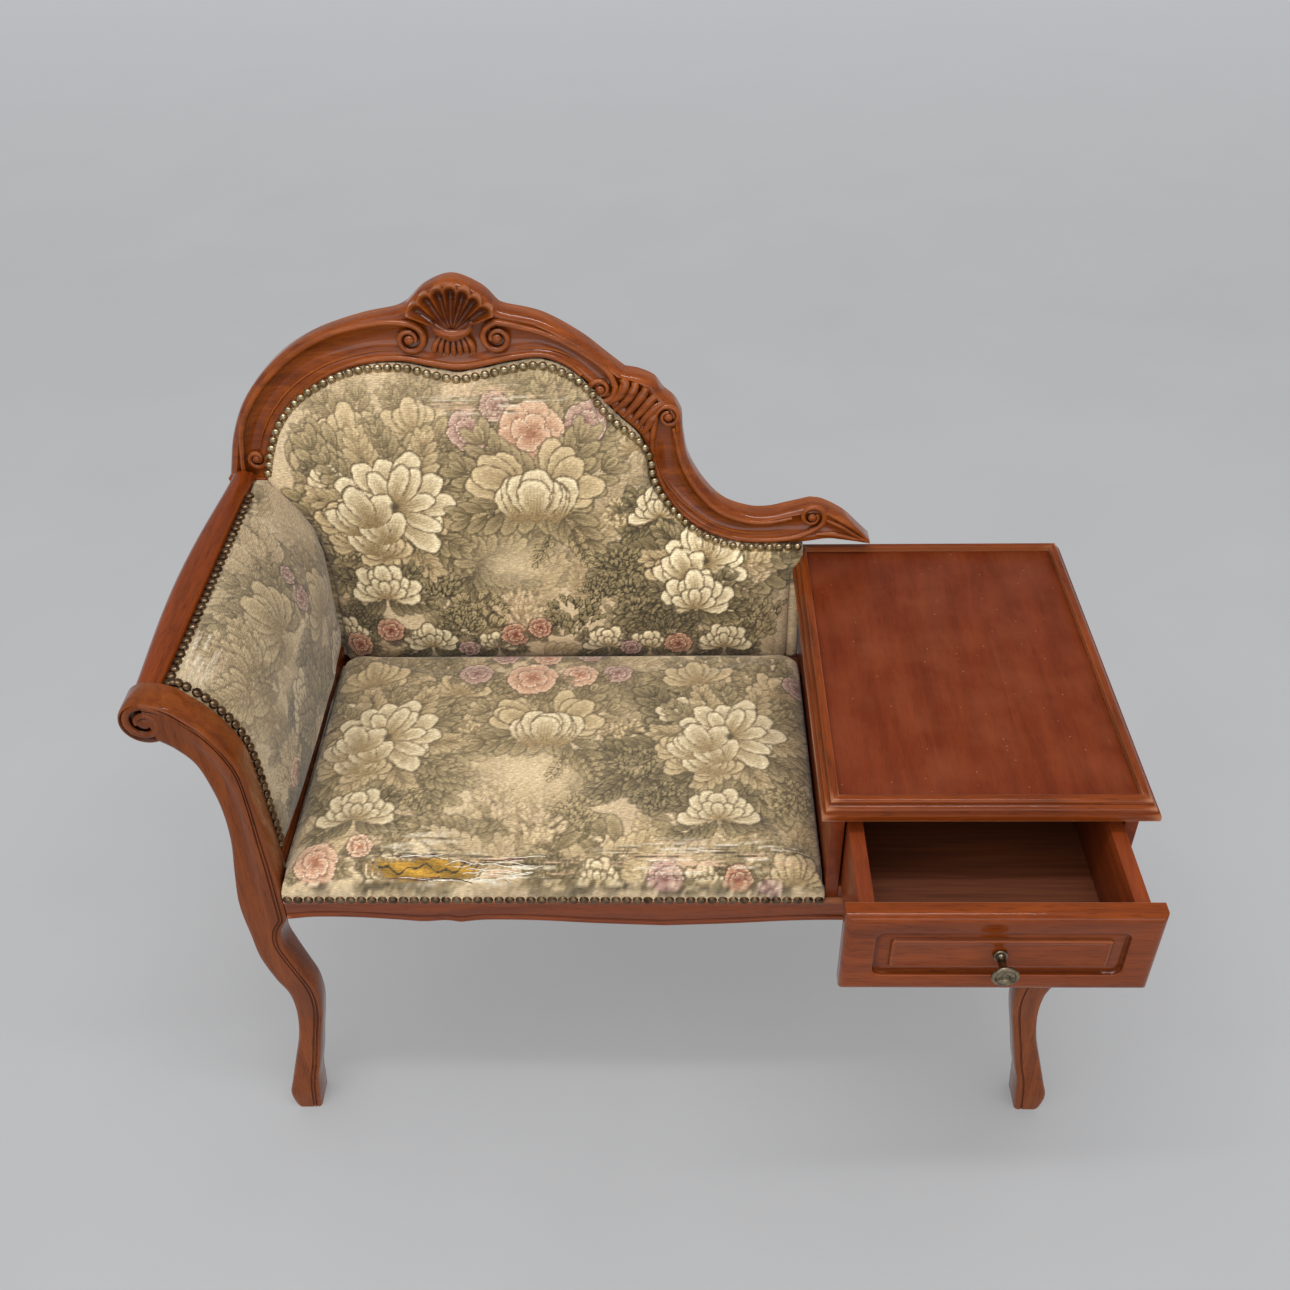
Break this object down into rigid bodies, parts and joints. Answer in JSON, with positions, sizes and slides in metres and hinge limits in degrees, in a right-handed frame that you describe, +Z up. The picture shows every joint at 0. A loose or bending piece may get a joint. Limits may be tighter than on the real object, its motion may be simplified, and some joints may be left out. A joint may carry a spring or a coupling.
{
  "type": "telephone bench",
  "caption": "Rococo-style telephone bench: tapestry seat and shaped back, a carved crest, one scrolled arm, and a cabinet with a drawer at the other end.",
  "frame": {"origin": "middle of the bounding box, on the floor, with the drawer part open as built", "axes": "+X along the bench from the arm to the cabinet, +Y to the back, +Z up"},
  "size_m": [1.091, 0.6722, 0.9459],
  "materials": {
    "mahogany": "mahogany-stained beech under clear lacquer, dark glaze in the carving",
    "veneer": "mahogany veneer under clear lacquer",
    "beech": "bare planed beech",
    "plywood": "thin plywood, plain",
    "tapestry": "woven floral tapestry over foam",
    "backing_cloth": "plain woven backing cloth on thin board",
    "antique_brass": "antiqued brass",
    "steel": "plain steel screw"
  },
  "bodies": {
    "bench": {"left_front_post": "mahogany", "right_front_leg": "mahogany", "left_rear_leg": "mahogany", "right_rear_leg": "mahogany", "front_rail": "mahogany", "left_side_rail": "mahogany", "right_side_rail": "mahogany", "arm_lower_rail": "mahogany", "arm_top_rail": "mahogany", "crest_rail": "mahogany", "back_left_stile": "mahogany", "top_moulding_front": "mahogany", "top_moulding_left": "mahogany", "top_moulding_rear": "mahogany", "top_moulding_right": "mahogany", "cabinet_left_side": "veneer", "cabinet_right_side": "veneer", "cabinet_top_rail": "veneer", "top_panel": "veneer", "rear_rail": "beech", "cross_rail": "beech", "corner_block_front_left": "beech", "corner_block_front_right": "beech", "corner_block_rear_left": "beech", "corner_block_rear_right": "beech", "back_right_stile": "beech", "back_lower_rail": "beech", "left_kicker": "beech", "right_kicker": "beech", "left_runner": "beech", "right_runner": "beech", "seat_base_board": "plywood", "cabinet_back": "plywood", "cabinet_floor": "plywood", "seat_pad": "tapestry", "arm_pad": "tapestry", "back_pad": "tapestry", "arm_outer_panel": "backing_cloth", "back_outer_panel": "backing_cloth"},
    "drawer": {"drawer_front": "mahogany", "drawer_left_side": "veneer", "drawer_right_side": "veneer", "drawer_back": "plywood", "drawer_floor": "plywood", "knob_rosette": "antique_brass", "knob": "antique_brass", "knob_screw": "steel"}
  },
  "joints": [
    {"name": "drawer_slide", "type": "slide", "parent": "bench", "child": "drawer", "axis": [0, -1, 0], "range_m": [-0.114, 0.186]}
  ]
}
